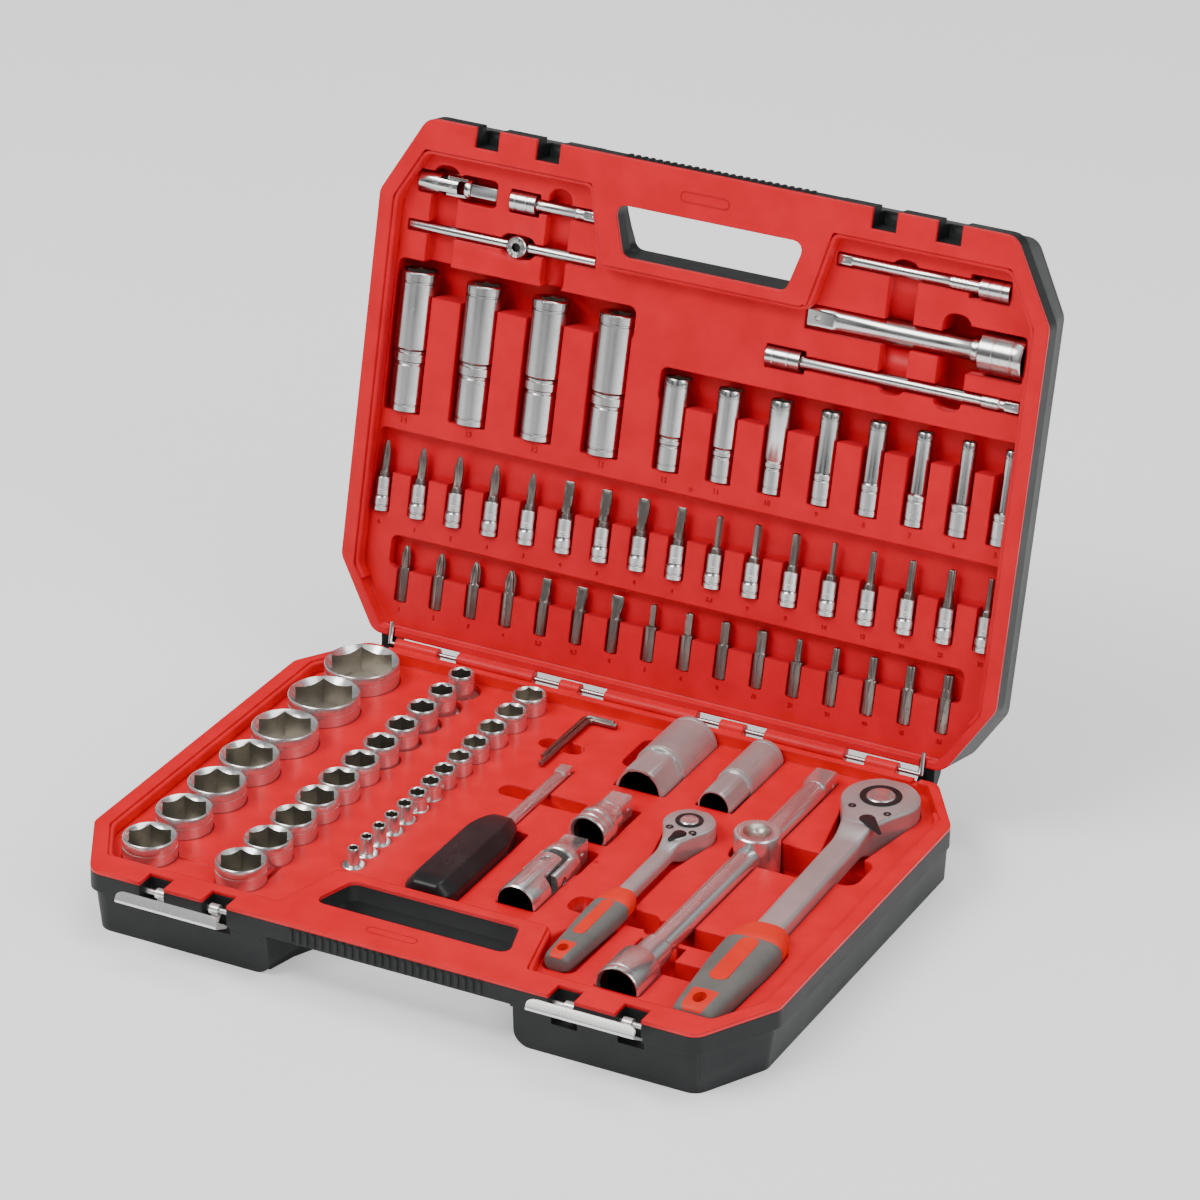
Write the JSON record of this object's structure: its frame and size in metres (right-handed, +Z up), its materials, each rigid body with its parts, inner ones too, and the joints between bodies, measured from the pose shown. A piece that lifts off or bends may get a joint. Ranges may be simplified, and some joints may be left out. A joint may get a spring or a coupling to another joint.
{
  "type": "socket wrench set in case",
  "caption": "Socket wrench set in a hinged two-part carry case: ratchets, sockets, bits, extensions and joints lie in fitted red trays inside black shells with two draw latches.",
  "frame": {"origin": "centre of the lower shell's flat underside, on the table", "axes": "+X to the right along the hinge, +Y from the front to the hinge at the rear, +Z up"},
  "size_m": [0.385, 0.4035, 0.317],
  "materials": {
    "red_tray": "moulded, fine grain",
    "lid_red_tray": "moulded, fine grain",
    "black_shell": "textured moulding",
    "black_plastic": "smooth satin",
    "grey_grip": "soft-touch",
    "red_grip": "soft inlay",
    "black_rubber": "plain",
    "chrome": "satin chrome-vanadium steel",
    "latch_plate": "plated sheet",
    "bright_wire": "drawn",
    "dark_steel": "dark oxide"
  },
  "bodies": {
    "base": {"base_shell": "black_shell", "base_tray": "red_tray", "latch_pins": "bright_wire", "sockets_half_large": "chrome", "sockets_half_small": "chrome", "sockets_quarter": "chrome", "driver_handle": "black_plastic", "driver_shank": "chrome", "hex_keys": "dark_steel", "drive_adapter": "chrome", "joint_half_socket_end": "chrome", "plug_socket_large": "chrome", "plug_socket_small": "chrome", "plug_socket_sleeves": "black_rubber", "long_extension": "chrome", "ratchet_half_body": "chrome", "ratchet_half_cover": "chrome", "ratchet_half_dial": "black_plastic", "ratchet_half_screws": "chrome", "ratchet_half_grip": "grey_grip", "ratchet_half_grip_insert": "red_grip", "ratchet_quarter_body": "chrome", "ratchet_quarter_cover": "chrome", "ratchet_quarter_dial": "black_plastic", "ratchet_quarter_screws": "chrome", "ratchet_quarter_grip": "grey_grip", "ratchet_quarter_grip_insert": "red_grip"},
    "lid": {"lid_shell": "black_shell", "lid_tray": "lid_red_tray", "hinge_wire": "bright_wire", "deep_sockets_half": "chrome", "deep_sockets_quarter": "chrome", "bit_sockets": "chrome", "bit_socket_tips": "dark_steel", "bits_cross": "dark_steel", "bits_slotted": "dark_steel", "bits_hex": "dark_steel", "bits_star": "dark_steel", "t_bar": "chrome", "extension_50": "chrome", "extension_100": "chrome", "extension_125": "chrome", "extension_150": "chrome", "joint_quarter_socket_end": "chrome"},
    "latch_left": {"latch_left": "latch_plate"},
    "latch_right": {"latch_right": "latch_plate"},
    "half_drive": {"ratchet_half_drive": "chrome"},
    "half_button": {"ratchet_half_button": "chrome"},
    "half_lever": {"ratchet_half_lever": "black_plastic"},
    "quarter_drive": {"ratchet_quarter_drive": "chrome"},
    "quarter_button": {"ratchet_quarter_button": "chrome"},
    "quarter_lever": {"ratchet_quarter_lever": "black_plastic"},
    "sliding_head": {"sliding_head": "chrome"},
    "t_bar_head": {"t_bar_head": "chrome"},
    "half_cross": {"joint_half_cross": "bright_wire"},
    "half_square_end": {"joint_half_square_end": "chrome"},
    "quarter_cross": {"joint_quarter_cross": "bright_wire"},
    "quarter_square_end": {"joint_quarter_square_end": "chrome"}
  },
  "joints": [
    {"name": "lid_hinge", "type": "hinge", "parent": "base", "child": "lid", "pos_m": [0, 0.1435, 0.0373], "axis": [-1, 0, 0], "range_deg": [-103, 0]},
    {"name": "left_latch_hinge", "type": "hinge", "parent": "base", "child": "latch_left", "pos_m": [-0.1145, -0.138, 0.03], "axis": [1, 0, 0], "range_deg": [-58, 37]},
    {"name": "right_latch_hinge", "type": "hinge", "parent": "base", "child": "latch_right", "pos_m": [0.1145, -0.138, 0.03], "axis": [1, 0, 0], "range_deg": [-50, 45]},
    {"name": "half_drive_turn", "type": "hinge", "parent": "base", "child": "half_drive", "pos_m": [0.1505, 0.1075, 0.0402], "axis": [0, 0, 1], "continuous": true},
    {"name": "quarter_drive_turn", "type": "hinge", "parent": "base", "child": "quarter_drive", "pos_m": [0.075, 0.039, 0.0394], "axis": [0, 0, 1], "continuous": true},
    {"name": "half_button_press", "type": "slide", "parent": "half_drive", "child": "half_button", "axis": [0, 0, -1], "range_m": [0, 0.0016], "stiffness_N_per_m": 600, "springref_m": -0.002},
    {"name": "quarter_button_press", "type": "slide", "parent": "quarter_drive", "child": "quarter_button", "axis": [0, 0, -1], "range_m": [0, 0.001], "stiffness_N_per_m": 400, "springref_m": -0.002},
    {"name": "half_lever_flip", "type": "hinge", "parent": "base", "child": "half_lever", "pos_m": [0.15415, 0.08259, 0.0402], "axis": [0, 0, 1], "range_deg": [-35, 0]},
    {"name": "quarter_lever_flip", "type": "hinge", "parent": "base", "child": "quarter_lever", "pos_m": [0.07665, 0.02452, 0.0394], "axis": [0, 0, 1], "range_deg": [0, 35]},
    {"name": "bar_head_slide", "type": "slide", "parent": "base", "child": "sliding_head", "axis": [0, 1, 0], "range_m": [-0.004, 0.004]},
    {"name": "t_bar_head_slide", "type": "slide", "parent": "lid", "child": "t_bar_head", "axis": [1, 0, 0], "range_m": [-0.004, 0.004]},
    {"name": "half_joint_turn", "type": "hinge", "parent": "base", "child": "half_cross", "pos_m": [0.0304, -0.0335, 0.031], "axis": [0, 0, 1], "range_deg": [-3, 3]},
    {"name": "half_joint_tilt", "type": "hinge", "parent": "half_cross", "child": "half_square_end", "pos_m": [0.0304, -0.0335, 0.031], "axis": [1, 0, 0], "range_deg": [0, 40]},
    {"name": "quarter_joint_turn", "type": "hinge", "parent": "lid", "child": "quarter_cross", "pos_m": [-0.1538, 0.21206, 0.27959], "axis": [0, -0.9744, 0.225], "range_deg": [-3, 3]},
    {"name": "quarter_joint_tilt", "type": "hinge", "parent": "quarter_cross", "child": "quarter_square_end", "pos_m": [-0.1538, 0.21206, 0.27959], "axis": [0, -0.225, -0.9744], "range_deg": [0, 40]}
  ]
}
